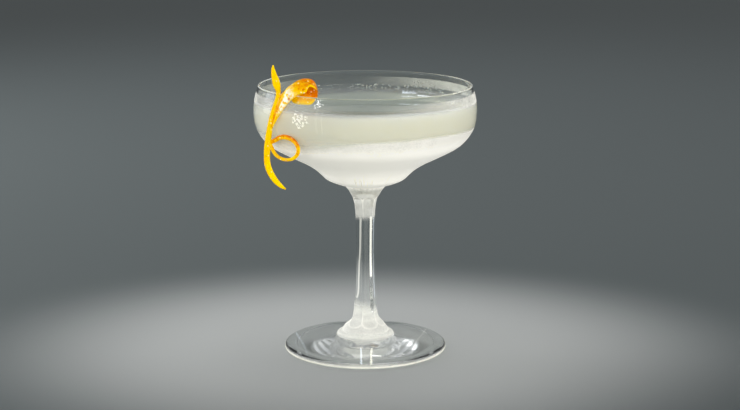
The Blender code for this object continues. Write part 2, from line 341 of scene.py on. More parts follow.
def mistOnGlass():
    # Pale where mist covers the glass, clear elsewhere, with a painted glow. Under the drink's level its
    # inside never shows
    material, tree, shader = blankMaterial("mistOnGlass", haze["sockets"])
    place = objectPlace(tree)
    x, _, z = addNode(tree, "SeparateXYZ", Vector=place).outputs
    underLevel = stepped(z, *haze["shownAbove"])
    grain = maths("MULTIPLY_ADD", underLevel, haze["grain"] - haze["breathGrain"], haze["breathGrain"])
    cover = covered(place, grain, haze["streaks"])
    slant = maths("POWER", addNode(tree, "LayerWeight", Blend=0.5).outputs["Facing"], haze["edgeOnPower"])
    slanted = maths("MULTIPLY_ADD", slant, haze["edgeOn"], 1.0)
    cover = maths("MINIMUM", times(cover, slanted), 1.0)
    hidden = times(addNode(tree, "NewGeometry").outputs["Backfacing"], underLevel)
    # Painted glow: on the collar, brighter at the foot's edge, and on the bowl, a little brighter towards
    # the right
    below = mixed(stepped(z, *haze["collarTop"]), haze["noGlow"], haze["collarGlow"])
    below = mixed(stepped(z, *haze["edgeTop"]), below, haze["edgeGlow"])
    glow = mixed(stepped(x, *haze["glowRight"]), haze["glow"], haze["glowAtRight"])
    onBowl = times(stepped(z, *haze["glowBottom"]), stepped(z, *haze["glowTop"]))
    glow = mixed(onBowl, below, glow)
    feed(shader, Alpha=times(cover, oneMinus(hidden)), Emission_Color=glow)
    lampsPass(shader, haze["lampTint"])
    return material


drinkFinish = {
    "body": {"Base Color": (0.735, 0.72, 0.605, 1), "Specular IOR Level": 0.0},
    # Painted shade: the surface is a darker, greener copy of the body's colour, for a top that is less lit
    "surface": {"Base Color": (0.54, 0.6, 0.48, 1), "Specular IOR Level": 0.5},
    "both": {
        "Roughness": 0.03,
        "IOR": 1.34,
        "Subsurface Weight": 1.0,
        "Subsurface Radius": (1, 0.95, 0.85),
        "Subsurface Scale": 0.014,
    },
}


def drinkMaterial(name, part):
    # See-through where the drink is thin between the surface and the far wall
    material, tree, shader = blankMaterial(name, {**drinkFinish["both"], **drinkFinish[part]})
    behind = addNode(tree, "NewGeometry").outputs["Backfacing"]
    fromOutside = times(readValue(tree, "clearness"), oneMinus(behind))
    fromInside = times(readValue(tree, "clearFromInside"), behind)
    feed(shader, Alpha=oneMinus(maths("ADD", fromOutside, fromInside)))
    return material


zest = {
    "bright": (1, 0.66, 0, 1), "deep": (0.76, 0.175, 0, 1), "pithPale": (1, 0.62, 0, 1),
    "pithDeep": (0.82, 0.22, 0, 1),
    "pithFrom": (-0.2, -0.6),  # skinSide is 1 on the skin and -1 on the pith
    "mottle": {"size": 0.0026, "detail": 4.0, "roughness": 0.65},
    "mottleSpread": (0.25, 2.2),  # it grows with tone + the first, times the second
    "pit": (0.74, 0.22, 0, 1),
    "pits": {"size": 0.0018, "share": 0.7, "reach": 0.44},
    "pitsFrom": (0.1, 0.4),  # tones over which they appear
    "pitCover": 0.95,
    "pitRoughness": (0.25, 0.3),  # added in a pit, and everywhere
    # pale flecks: paler oil glands, and partly painted glints
    "fleck": (1, 0.94, 0.5, 1),
    "flecks": {"size": 0.0013, "share": 0.25, "reach": 0.36},
    "fleckCover": 0.8,
    "fleckHeight": 0.25,  # as a share of a pit's depth
    "paintedShine": (1, 0.97, 0.83, 1),  # a painted pale highlight over the bend of the leaf
    "paintedShineSize": 0.0015,
    "paintedShineFrom": (0.41, 0.51),  # the noise over which the painted highlight is broken up
    "paintedShineCover": 0.95,
    "coat": (0.97, 0.03),  # coat where the painted highlight is, and everywhere
    "relief": 0.0003,
    "sockets": {
        "Emission Strength": 0.09,  # painted glow, standing for light that comes through the peel, as a share of its colour
        "Specular Tint": (1, 0.8, 0.3, 1),
        "Specular IOR Level": 0.11,
        "Coat IOR": 1.8,
        "Coat Roughness": 0.2,
        "Subsurface Weight": 0.25,
        "Subsurface Radius": (1, 0.5, 0.05),
        "Subsurface Scale": 0.001,
    },
}
spotEdge = {"chance": 0.1, "solid": 0.4}  # how softly cells are picked, and the full part of a spot's reach


def spots(place, size, share, reach):
    # Round spots: near a cell's middle, in the share of cells whose random number is highest
    cells = addNode(place.id_data, "TexVoronoi", Vector=place, Scale=1 / size)
    pick = addNode(place.id_data, "SeparateColor", Color=cells.outputs["Color"]).outputs["Red"]
    chosen = stepped(pick, 1 - share - spotEdge["chance"], 1 - share + spotEdge["chance"])
    return times(stepped(cells.outputs["Distance"], reach, reach * spotEdge["solid"]), chosen)


def peelMaterial():
    # From bright to deep with the tone, mottled by noise, with darker pits, a painted pale highlight, and
    # pale flecks that are partly oil glands and partly painted glints
    material, tree, shader = blankMaterial("orangePeel", zest["sockets"])
    place = objectPlace(tree)
    tone, glossAndPaintedShine = readValue(tree, "tone"), readValue(tree, "glossAndPaintedShine")
    ripe = maths("MAXIMUM", stepped(tone, *zest["pitsFrom"]), glossAndPaintedShine)
    pits = times(spots(place, **zest["pits"]), ripe)
    flecks = spots(place, **zest["flecks"])
    more, spread = zest["mottleSpread"]
    spread = times(maths("ADD", tone, more), spread)
    mottle = maths("SUBTRACT", noise(place, **zest["mottle"]), 0.5)
    tone = clamped(maths("MULTIPLY_ADD", mottle, spread, tone))
    # Painted highlight: a pale colour over the bend of the leaf, broken up by noise
    broken = stepped(noise(place, zest["paintedShineSize"], detail=2.0), *zest["paintedShineFrom"])
    paintedShine = times(times(glossAndPaintedShine, broken), zest["paintedShineCover"])
    skin = mixed(tone, zest["bright"], zest["deep"])
    skin = mixed(paintedShine, skin, zest["paintedShine"])
    skin = mixed(times(pits, zest["pitCover"]), skin, zest["pit"])
    pith = mixed(tone, zest["pithPale"], zest["pithDeep"])
    inside = stepped(readValue(tree, "skinSide"), *zest["pithFrom"])
    colour = mixed(inside, skin, pith)
    colour = mixed(times(flecks, zest["fleckCover"]), colour, zest["fleck"])
    rough = maths("MULTIPLY_ADD", pits, *zest["pitRoughness"])
    coat = times(maths("MULTIPLY_ADD", glossAndPaintedShine, *zest["coat"]), oneMinus(pits))
    height = maths("SUBTRACT", times(flecks, zest["fleckHeight"]), pits)
    bump = addNode(tree, "Bump", Strength=1.0, Distance=zest["relief"], Height=height)
    feed(shader, Base_Color=colour, Emission_Color=colour, Roughness=rough, Coat_Weight=coat,
         Normal=bump.outputs["Normal"])
    return material


# The coupe: one turned skin, with six flat panels in its stem

coupe = {
    "sides": 180,  # 30 steps to each stem panel
    "lipHeight": 0.118,
    "bowl": (  # in millimetres, as all tables here: outside radius, height, and the wall behind that point
        (46.5, 117.45, 1), (47.4, 114.5, 1), (48.2, 110.8, 1.1), (48.5, 106.8, 1.2),
        (48.1, 102, 1.3), (46.7, 98.2, 1.4), (44.3, 94.7, 1.6), (40.7, 91.5, 1.7),
        (34.1, 87.9, 1.8), (27, 84.3, 1.9), (22.3, 81.3, 2.1), (19.5, 78.8, 2.3), (17.1, 76.6, 2.6),
        (13.3, 74.9, 2.8), (9.2, 73.7, 2.8),
    ),
    "walled": 12,  # how many of these have the wall behind them; under the rest is the floor
    "floor": ((15, 78.1), (8.5, 76.9), (0, 76.6)),
    "stemTop": ((8.7, 73), (7.4, 71.4), (6.4, 69.7), (5.7, 68.3), (5.3, 66)),
    "stemBottom": ((5.4, 20), (6, 15), (6.6, 13), (7.5, 11.7), (9.2, 9.6)),
    "collar": (
        (9.9, 8.7), (10.2, 8), (10.1, 7.5), (11.9, 7.1), (12.5, 6.5), (12.6, 5.8),
    ),
    "footRadius": 0.0358, "footEdge": 0.0021, "footRing": 0.0343,
    "footHollow": ((30.5, 0), (28.4, 0.4), (16.8, 1), (0, 1.2)),
    "firstRidge": -102.5, "panelTurn": 60,
    "panels": (  # how far each flat lies from the axis, and at what height
        (8.6, 69.7), (6.3, 69), (5.15, 68.1), (4.6, 66.5), (4.1, 63.5), (3.8, 58.5), (3.6, 50),
        (3.54, 42), (3.66, 35.4), (3.9, 28.5), (4.25, 21.5), (4.8, 16), (5.3, 13.6), (6.2, 12.1),
        (8, 10.6), (10, 9.6),
    ),
    "ridgeSharpness": 60,
}


def bowlInside():
    stations = metres(coupe["bowl"])
    wall = offsetRight(stations[:, :2], stations[:, 2])[:coupe["walled"]]
    return np.maximum(smoothThrough(np.vstack([wall, metres(coupe["floor"])]), perSpan=7), 0.0)


def coupeOutline():
    # Up the bowl's inside, over the lip, down outside it, the stem and the collar, and in under the foot
    inside = bowlInside()[::-1]
    outside = smoothThrough(metres(coupe["bowl"])[:, :2], perSpan=8)
    lipRadius = np.linalg.norm(outside[0] - inside[-1]) / 2
    lip = arc((inside[-1] + outside[0]) / 2, lipRadius, 180, 0, steps=12)[1:-1]
    lip[:, 1] += coupe["lipHeight"] - lip[:, 1].max()
    top, bottom = (smoothThrough(metres(coupe[end]), perSpan=8) for end in ("stemTop", "stemBottom"))
    stem = np.vstack([top, between(top[-1], bottom[0], count=44), bottom])
    edgeRadius = coupe["footEdge"] / 2
    edge = arc((coupe["footRadius"] - edgeRadius, edgeRadius), edgeRadius, 80, -90, steps=14)
    collar = metres(coupe["collar"])
    slope = between(collar[-1], edge[0], count=18)
    collar = cornersCut(np.vstack([bottom[-1], collar, slope[0]]), times=2)[1:-1]
    hollow = smoothThrough(metres(coupe["footHollow"]), perSpan=4)
    lipEnd = len(inside) - 1 + len(lip)
    under = np.vstack([(coupe["footRing"], 0.0), hollow[:-1]])
    outline = np.vstack([inside[1:], lip, outside, stem, collar, slope, edge, under])
    return outline, lipEnd, lipEnd + len(outside)


def withPanels(rings):
    # The smooth least of the round radius and d / cos(angle to the flat's middle), as a sum of high powers,
    # and a second result that is 1 on the lines where two of these meet and 0 away from them
    distances, heights = smoothThrough(metres(coupe["panels"]), perSpan=6)[::-1].T
    radius, angle, z = polar(rings)
    distance = np.interp(z, heights, distances, left=1.0, right=1.0)
    middles = coupe["firstRidge"] + coupe["panelTurn"] / 2 + np.arange(0, 360, coupe["panelTurn"])
    middles = np.radians(middles)[:, None, None]
    terms = radius * np.maximum(np.cos(angle - middles), 1e-3) / distance
    terms = np.concatenate([np.ones_like(radius)[None], terms])**coupe["ridgeSharpness"]
    total = terms.sum(0)
    panelled = (z > heights.min()) & (z < heights.max())
    scale = np.where(panelled, total**(-1 / coupe["ridgeSharpness"]), 1.0)
    edge = np.where(panelled, 2 * (1 - terms.max(0) / total), 0.0)
    return rings * np.stack([scale, scale, np.ones_like(scale)], axis=2), edge


def coupeRings():
    outline, lipEnd, stemStart = coupeOutline()
    rings = turned(outline, coupe["sides"], coupe["firstRidge"])
    stem, edges = withPanels(rings[stemStart:])
    ridges = np.concatenate([np.zeros_like(rings[:stemStart, :, 0]), edges])
    return np.concatenate([rings[:stemStart], stem]), ridges, lipEnd


rings, ridgeLines, lipEnd = coupeRings()
glassPiece = skinOver("coupeGlass", rings, [clearGlass()])
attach(glassPiece, "root")
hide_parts("glass")


# Condensation: a thin film just off the outside of the glass, white where the cold bowl and stem mist over,
# with painted highlights on the stem's ridges and round the foot's edge

mist = {
    "gap": 0.00001, "film": 0.00003,
    "bareRows": (6, 16),  # under the lip and under the foot
    "bowlTop": 0.0999, "bowlTopBlur": 0.0014,
    "rightRise": (0.0009, math.radians(-50), 0.45),  # how much higher it starts, where and how wide
    "leftTowards": math.radians(-165),
    "leftFrom": (0.6, 0.97),  # how far to the left it drops
    "leftDrop": 0.004,  # how much lower and softer the mist starts there
    "leftBlur": 0.012, "bowlCover": 0.96, "leftCover": 0.8,
    "leftThinFrom": (0.22, 0.64),  # how far to the left it thins
    "leftFull": (0.0915, 0.0995),  # heights between which it thins there
    "stemFrom": (0.0715, 0.0745), "stemEnd": (0.0579, 0.0601), "stemCover": 0.34,
    "onRidges": 0.45,  # painted highlight: how much more cover there is on the edges of the stem's panels
    "collarTop": 0.018, "collarTopBlur": 0.008,
    "collarTilt": 0.0018,  # how much higher it starts on the left
    # onCollarRidges: more cover on the collar's ridges, a painted highlight
    "collarReach": (0.0121, 0.0133), "collarCover": 0.52, "onCollarRidges": 0.24,
    "edgeCover": 0.62,  # painted highlight: a line of white cover round the foot's edge, most at the front
    "edgeFrom": (0.035, 0.0354),
    "paintedEdgeLine": (0.00095, 0.0005),  # its middle height and half its width
    "edgeTowards": math.radians(-90),
    "breathCover": 0.5,  # the faint mist over the drink's level, at the right and left
    "breathFrom": (0.1105, 0.1115), "breathTo": (0.1148, 0.1163), "breathTowards": math.radians(0),
    "breathRight": (0.45, 1),
    "breathLeft": 0.5,  # the left's share of it
    "uneven": 0.3,  # how much the edge's line and this mist thin from one side to the other
    "patchCover": 0.1,  # a faint mottled patch of white cover on the foot
    "patchAt": (0.021, -0.003), "patchSize": (0.01, 0.011),
    "patchWithin": (0.0127, 0.006),  # outside this radius, under this height
    "clumps": (0.45, 2, (1300, 700), (1100, 900)),  # how deep, how bent, and how fine in x and in y
}


def facing(direction, angle):
    # 1 in this direction and 0 in the opposite one, as half a cosine
    return 0.5 + 0.5 * np.cos(angle - direction)


def bowlMist(angle, z, ridges):
    # Cover from the mist line, lower at the left and higher at the front right, to its end on the stem
    leftwards = facing(mist["leftTowards"], angle)
    left = risen(*mist["leftFrom"], leftwards)
    higher, direction, width = mist["rightRise"]
    line = mist["bowlTop"] - mist["leftDrop"] * left + higher * np.exp(-((angle - direction) / width)**2)
    thinner = risen(*mist["leftThinFrom"], leftwards) * risen(*mist["leftFull"], z)
    cover = mist["bowlCover"] - (mist["bowlCover"] - mist["leftCover"]) * thinner
    onStem = 1 - risen(*mist["stemFrom"], z)
    # More cover on the ridges: a painted highlight
    cover += (mist["stemCover"] + mist["onRidges"] * ridges - cover) * onStem
    cover *= 1 - past(line, mist["bowlTopBlur"] + mist["leftBlur"] * left, z)
    return cover * risen(*mist["stemEnd"], z)


def collarMist(radius, angle, z, ridges):
    # Cover under a tilted line and within its reach, and more on the ridges as a painted highlight
    top = mist["collarTop"] + mist["collarTilt"] * np.cos(angle - mist["leftTowards"])
    collar = 1 - past(top, mist["collarTopBlur"], z)
    collar *= 1 - risen(*mist["collarReach"], radius)
    return collar * (mist["collarCover"] + mist["onCollarRidges"] * ridges)


def breathMist(angle, z):
    # Between its two heights, the more of the right and the left, thinner at the front
    left = risen(*mist["leftFrom"], facing(mist["leftTowards"], angle))
    right = risen(*mist["breathRight"], facing(mist["breathTowards"], angle))
    breath = np.maximum(right, mist["breathLeft"] * left) * risen(*mist["breathFrom"], z)
    breath *= 1 - mist["uneven"] + mist["uneven"] * np.sin(angle)
    return mist["breathCover"] * breath * (1 - risen(*mist["breathTo"], z))


def footMottle(points, radius):
    # exp(-distance^2) from its middle, broken into clumps by sines of x and y that bend each other
    x, y, z = np.moveaxis(points, -1, 0)
    away = (points[..., :2] - mist["patchAt"]) / mist["patchSize"]
    depth, bend, alongX, alongY = mist["clumps"]
    waves = [np.sin(first * one + bend * np.sin(second * other))
             for (first, second), one, other in ((alongX, x, y), (alongY, y, x))]
    clumps = 1 - depth + depth * waves[0] * waves[1]
    onFoot = (radius > mist["patchWithin"][0]) & (z < mist["patchWithin"][1])
    return mist["patchCover"] * np.exp(-(away**2).sum(-1)) * clumps * onFoot


def paintedEdgeLine(radius, angle, z):
    # A painted highlight: exp(-(height from the line)^2) outside the foot's rim, most at the front
    edge = risen(*mist["edgeFrom"], radius) * np.exp(-((z - mist["paintedEdgeLine"][0]) / mist["paintedEdgeLine"][1])**2)
    atFront = 1 - mist["uneven"] + mist["uneven"] * np.cos(angle - mist["edgeTowards"])
    return edge * mist["edgeCover"] * atFront


def mistAmount(points, ridges):
    # The most of the five at each point
    radius, angle, z = polar(points)
    parts = [bowlMist(angle, z, ridges), collarMist(radius, angle, z, ridges), breathMist(angle, z),
             footMottle(points, radius), paintedEdgeLine(radius, angle, z)]
    return np.max(parts, axis=0)


misted = (np.arange(len(rings)) > lipEnd)[:, None] & (rings[..., 2] < mist["breathFrom"][0])
pointValues(glassPiece, "mist", mistAmount(rings, ridgeLines) * misted)
countFaces(glassPiece)
outside = slice(lipEnd + mist["bareRows"][0], -mist["bareRows"][1])
outer, ridgeLines = rings[outside], ridgeLines[outside]
film = shellOn(outer, skinNormals(outer), mist["gap"], mist["film"])
mistPiece = skinOver("condensation", film, [mistOnGlass()], joined=True)
pointValues(mistPiece, "mist", mistAmount(film, np.concatenate([ridgeLines, ridgeLines[::-1]])))
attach(mistPiece, "root")
countFaces(mistPiece)


# The drink: its wall reaches just into the glass

drink = {
    "level": 0.11,
    "climb": 0.0018,  # how far the edge climbs the wall
    "climbLength": 0.0011, "intoWall": 0.00025, "sides": 180,
    "surfaceRows": (42, 0.00012, 0.001),  # how many, the first's distance from the wall, the last's radius
    "clearest": 0.98,  # how much shows through the surface by the wall
    "clearFrom": 0.0285,  # radius where that starts
    "clearBlur": 0.003,
    "clearWobble": ((0.0007, 3, 1), (0.0005, 7, 0)),  # reach, waves round the glass, shift
    "softerAway": 0.011,  # how much wider that blur is at the sides and back
    "awayFrom": (-0.85, 0.3),  # sines of the angle, where it is as at the front and as at the back
    "softerInwards": 0.3,  # the share of that widening that goes inwards
    "clearWedge": 0.7,  # how much shows through the thin top of the edge on the wall
    "wedgeDrop": 0.0002,
    "thickBelow": 0.1045,  # height under which the wall's milky inside shows
    "thinAbove": 0.1075,
}


def surfaceHeight(inset):
    # level + climb * exp(-distance from the wall / length)
    return drink["level"] + drink["climb"] * np.exp(-inset / drink["climbLength"])


def drinkOutline():
    # From the surface's middle to the wall, then down inside the glass
    wall = offsetRight(bowlInside(), -drink["intoWall"])
    wall[-1, 0] = 0.0
    top = drink["level"] + drink["climb"]
    edge = np.interp(-top, -wall[:, 1], wall[:, 0])
    count, firstInset, lastRadius = drink["surfaceRows"]
    inset = np.concatenate([[0.0], np.geomspace(firstInset, edge - lastRadius, count)])
    surface = np.column_stack([edge - inset, surfaceHeight(inset)])
    return np.vstack([surface[::-1], wall[wall[:, 1] < top][:-1]]), len(surface)


def drinkClearness(rings, surfaceRows):
    # From outside: a ring on the surface, softer away from the front, and the thin top of the raised edge.
    # From inside: all of the surface, and the wall over the milky part
    radius, angle, z = polar(rings)
    onSurface = (np.arange(len(rings)) < surfaceRows)[:, None]
    wobble = sum(reach * np.sin(waves * angle + shift) for reach, waves, shift in drink["clearWobble"])
    softer = drink["softerAway"] * risen(*drink["awayFrom"], np.sin(angle))
    start = drink["clearFrom"] - drink["softerInwards"] * softer
    clear = drink["clearest"] * risen(start, start + drink["clearBlur"] + softer, radius + wobble)
    wedge = risen(drink["level"] - drink["wedgeDrop"], drink["level"] + drink["climb"], z)
    thin = risen(drink["thickBelow"], drink["thinAbove"], z)
    return np.where(onSurface, clear, drink["clearWedge"] * wedge), np.where(onSurface, 1.0, thin)


def markSurface(piece, surfaceRows):
    # The second material, on the quads between the surface's rings and on the fan at its middle
    inSurface = np.zeros(len(piece.data.polygons), np.int32)
    inSurface[:(surfaceRows - 1) * drink["sides"]] = 1
    inSurface[-2 * drink["sides"]:-drink["sides"]] = 1
    piece.data.polygons.foreach_set("material_index", inSurface)


outline, surfaceRows = drinkOutline()
drinkRings = turned(outline, drink["sides"])
drinkPiece = skinOver("cloudyDrink", drinkRings, [
    drinkMaterial("drinkInGlass", "body"), drinkMaterial("drinkSurfacePaintedShade", "surface")])
markSurface(drinkPiece, surfaceRows)
clearness, clearFromInside = drinkClearness(drinkRings, surfaceRows)
pointValues(drinkPiece, "clearness", clearness)
pointValues(drinkPiece, "clearFromInside", clearFromInside)
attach(drinkPiece, "root")
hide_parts("drink")
countFaces(drinkPiece)


# A clear skin over the surface, which carries its reflections where the drink under it is see-through

sheen = {
    "gap": 0.00001, "film": 0.00001,
    "sockets": {"Base Color": (1, 1, 1, 1), "Roughness": 0.0, "Transmission Weight": 1.0, "IOR": 1.12},
    "lampTint": (0.99, 0.99, 0.99, 1),
}


def sheenMaterial():
    material, _, shader = blankMaterial("drinkSheen", sheen["sockets"])
    lampsPass(shader, sheen["lampTint"])
    return material


sheenRings = shellOn(drinkRings[:surfaceRows - 1], np.array([0.0, 0.0, 1.0]), sheen["gap"], sheen["film"])
sheenPiece = skinOver("drinkSheen", sheenRings, [sheenMaterial()])
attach(sheenPiece, "root")
countFaces(sheenPiece)


# Bubbles that cling where the drink meets the back of the bowl

bubbles = {
    "seed": 7, "count": 130,
    "towards": (38, 128),  # degrees, seen from above
    "sizes": (0.0001, 0.00034), "fromWall": 0.0032,
    "sink": 0.25,  # share of its size that a bubble sits in the drink
    "steps": 8,  # round each bubble
    "ringsAt": (-60, -25, 10, 45, 75),  # degrees up from its middle
    "sockets": {"Base Color": (0.8, 0.82, 0.74, 1), "Roughness": 0.05, "Subsurface Weight": 0.3},
    "grainSize": 0.001,
    "solid": (0.6, 0.15),  # alpha = grain times the first + the second
}


def bubbleShells():
    # Each is a ball, centre + size * (cos a cos b, sin a cos b, sin b), on the curve that the edge climbs
    chance = np.random.default_rng(bubbles["seed"])
    wall = bowlInside()
    angle = np.radians(chance.uniform(*bubbles["towards"], bubbles["count"]))
    size = chance.uniform(*bubbles["sizes"], bubbles["count"])
    edge = np.interp(-drink["level"], -wall[:, 1], wall[:, 0])
    inset = size + bubbles["fromWall"] * chance.uniform(0, 1, bubbles["count"])**2
    height = surfaceHeight(inset) + size * (1 - 2 * bubbles["sink"])
    centres = np.column_stack([(edge - inset) * np.cos(angle), (edge - inset) * np.sin(angle), height])
    up = np.radians(bubbles["ringsAt"])
    ball = turned(np.column_stack([np.cos(up), np.sin(up)]), bubbles["steps"])
    return centres[:, None, None] + size[:, None, None, None] * ball


def shellFaces(shells):
    # Quads between each shell's rings, and one face at each of its ends
    count, rows, columns = shells.shape[:3]
    corner = np.arange(rows * columns).reshape(rows, columns)
    after = np.roll(corner, -1, axis=1)
    quads = np.stack([corner[:-1], after[:-1], after[1:], corner[1:]], axis=2).reshape(-1, 4)
    starts = np.arange(count)[:, None] * rows * columns
    faces = (quads + starts[..., None]).reshape(-1, 4).tolist()
    return faces + (corner[-1] + starts).tolist() + (corner[0][::-1] + starts).tolist()


def bubbleMaterial():
    material, tree, shader = blankMaterial("bubbleSkin", bubbles["sockets"])
    grain = noise(objectPlace(tree), bubbles["grainSize"])
    feed(shader, Alpha=maths("MULTIPLY_ADD", grain, *bubbles["solid"]))
    return material


shells = bubbleShells()
bubblePiece = meshPiece("edgeBubbles", shells.reshape(-1, 3), shellFaces(shells), [bubbleMaterial()])
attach(bubblePiece, "root")
countFaces(bubblePiece)


# The orange peel: a long strip, a broad leaf folded over the rim and a curl

peel = {
    "thickness": 0.0011,
    "thinnest": 0.8,  # a narrow strip is this share of its width thick
    "roundness": 2.8, "around": 36,
    "strip": (  # place and width in millimetres, and the way that the skin faces, in degrees from above
        (-38, -31, 130.1, 0.4, -98), (-38, -31, 128.3, 1.5, -98), (-37.6, -31.4, 126, 2.4, -98),
        (-37, -31.8, 123.9, 3.1, -99), (-36.5, -32.1, 122, 3.2, -101),
        (-36.1, -32.1, 120.5, 2.6, -103), (-35.9, -32, 118.9, 2, -105),
        (-36.3, -32, 116.4, 1.8, -107), (-37.2, -31.9, 113.7, 1.8, -108),
        (-38.3, -31.4, 110.3, 1.9, -108), (-39.2, -30.9, 106.8, 2.1, -108),
        (-39.9, -30.4, 102.6, 2.5, -107), (-40.4, -30.3, 99.3, 2.7, -106),
        (-40.9, -30.2, 95, 2.8, -104), (-41.1, -30, 91.5, 2.6, -102),
        (-40.9, -29.8, 88.1, 2.7, -100), (-39.8, -29.7, 84.7, 2.7, -98),
        (-37.7, -29.6, 81.2, 2.4, -97), (-35.4, -29.6, 78.9, 1.7, -96),
        (-33.4, -29.6, 77.5, 0.5, -96),
    ),
    "stripTone": (0.04, 0.25, (0.55, 1)),  # its tone, and how much deeper between these shares across it
    "curlCentre": (-0.0331, -0.0365, 0.0961), "curlRadii": (0.0071, 0.0047), "curlPlane": -38,
    "curlTurn": (-195, 166), "curlReach": 0.3, "curlReachDegrees": 32, "curlSetback": (0.0014, 5),
    "curlWidth": 0.0017, "curlExtraOnTop": 0.0003,
    "curlTones": (0.26, 0.06, 0.62, (-0.1, 0.7)),  # its tone, painted shade added on its top, and more painted shade between these shares across it there
    "curlTop": (0, 0.7),  # sines of the angle
    "leaf": (  # front edge, crest and back edge in millimetres, from the strip to its round end
        (-38.4, -31.7, 104, -38.8, -31.5, 104.1, -39.1, -31.3, 104.2),
        (-35.8, -34, 108.8, -36.8, -33.1, 109, -37.9, -32, 109.1),
        (-33.8, -35.5, 112, -35.4, -34.1, 112.4, -37, -32.3, 112.4),
        (-31.8, -36.7, 114.8, -33.9, -34.9, 115.9, -35.7, -32.4, 116.4),
        (-29.7, -38, 117, -32.1, -35.4, 120.3, -33.8, -31.4, 118.4),
        (-27.2, -38.9, 118.9, -29.7, -34.8, 122.3, -31.5, -30.8, 117.8),
        (-24.4, -39.6, 119.7, -26.7, -34.4, 124.1, -29.4, -32.6, 114.4),
        (-22.8, -38.2, 122, -23.9, -34, 124.3, -25.6, -34.2, 113.9),
        (-21.2, -37.4, 121.7, -21.5, -33.8, 123.5, -22.1, -34.8, 114.2),
        (-19.9, -36.2, 120.5, -19.9, -34.4, 121.1, -19.7, -34.6, 117),
    ),
    "leafFrontBulge": 0.12, "leafBackBulge": 0.2, "leafTone": 0.14,
    "leafEdge": (6, 16),  # powers that say how square its edges are, across and along
    "leafPatches": (  # what is added to the tone, and the shares along and across where it starts and ends
        (0.78, (0.5, 0.78), None, (-0.95, -0.6), (0.55, 0.95)),  # painted shade over the crest and the hollow behind it
        (0.6, None, (0.15, 0.5), (-0.3, 0.2), None),  # painted shade beside the strip, where the leaf turns away
        (0.4, (0.8, 0.93), None, (-0.6, -0.2), None),  # painted shade on the round end
        (-0.45, None, None, (0.8, 0.97), None),  # painted highlight along the edge of the fold
    ),
    # where the coat and the painted highlight lie on the leaf: amount, then the shares along and across
    # where it starts and ends
    "leafGlossAndPaintedShine": (1, (0.1, 0.28), (0.42, 0.58), (-0.99, -0.8), (-0.25, 0.05)),
}


def stripSkin(places, widths, facing):
    # A section with rounded edges, |u|^n + |v|^n = 1, along the middle line: u across, v towards the skin
    along = unit(np.gradient(places, axis=0))
    skin = np.column_stack([np.cos(facing), np.sin(facing), 0 * facing])
    skin = unit(skin - (skin * along).sum(1)[:, None] * along)
    across = np.cross(along, skin)
    turn = np.arange(peel["around"]) * 2 * math.pi / peel["around"]
    u, v = (np.sign(part) * np.abs(part)**(2 / peel["roundness"]) for part in (np.cos(turn), np.sin(turn)))
    half = np.minimum(peel["thickness"], peel["thinnest"] * widths) / 2
    points = places[:, None] + across[:, None] * (u * widths[:, None] / 2)[..., None]
    return points + skin[:, None] * (v * half[:, None])[..., None], np.tile(v, (len(places), 1)), u


def mainStrip():
    *sizes, degrees = smoothThrough(np.array(peel["strip"]), perSpan=9).T
    x, y, z, width = metres(sizes)
    points, side, across = stripSkin(np.column_stack([x, y, z]), width, np.radians(degrees))
    tone, deeper, edge = peel["stripTone"]
    return points, side, tone + deeper * risen(*edge, np.tile(across, (len(points), 1))), 0 * side


def curl():
    # An ellipse in an upright plane, opened at both ends by reach * nearness^2, set back by turn^power
    start, end = peel["curlTurn"]
    turn = np.linspace(0, 1, num=161)
    degrees = start + turn * (end - start)
    near = [np.clip(1 - gap / peel["curlReachDegrees"], 0, 1) for gap in (degrees - start, end - degrees)]
    opened = 1 + peel["curlReach"] * (near[0]**2 + near[1]**2)
    angle, plane = np.radians(degrees), math.radians(peel["curlPlane"])
    level = peel["curlRadii"][0] * opened * np.cos(angle)
    back = peel["curlSetback"][0] * turn**peel["curlSetback"][1]
    places = np.array(peel["curlCentre"]) + np.column_stack([
        level * math.cos(plane) - back * math.sin(plane),
        level * math.sin(plane) + back * math.cos(plane),
        peel["curlRadii"][1] * opened * np.sin(angle)])
    widths = peel["curlWidth"] + peel["curlExtraOnTop"] * np.sin(angle)
    points, side, across = stripSkin(places, widths, np.full(len(turn), plane - math.pi / 2))
    # Painted shade: the curl's top is deeper, most towards one edge
    top = risen(*peel["curlTop"], np.sin(angle))[:, None]
    tone, onTop, outside, shares = peel["curlTones"]
    return points, side, tone + outside * top * risen(*shares, across) + onTop * top, 0 * side


def patch(along, across, amount, *limits):
    # The amount, times a smooth step up and one down along the leaf and across it, where they are given
    for value, (start, end) in ((along, limits[:2]), (across, limits[2:])):
        amount = amount * (risen(*start, value) if start else 1) * (1 - risen(*end, value) if end else 1)
    return amount


def folded(front, back):
    # The values on the sheet's front, then those on its back in the other direction
    return np.concatenate([front, back[:, -2:0:-1]], axis=1)


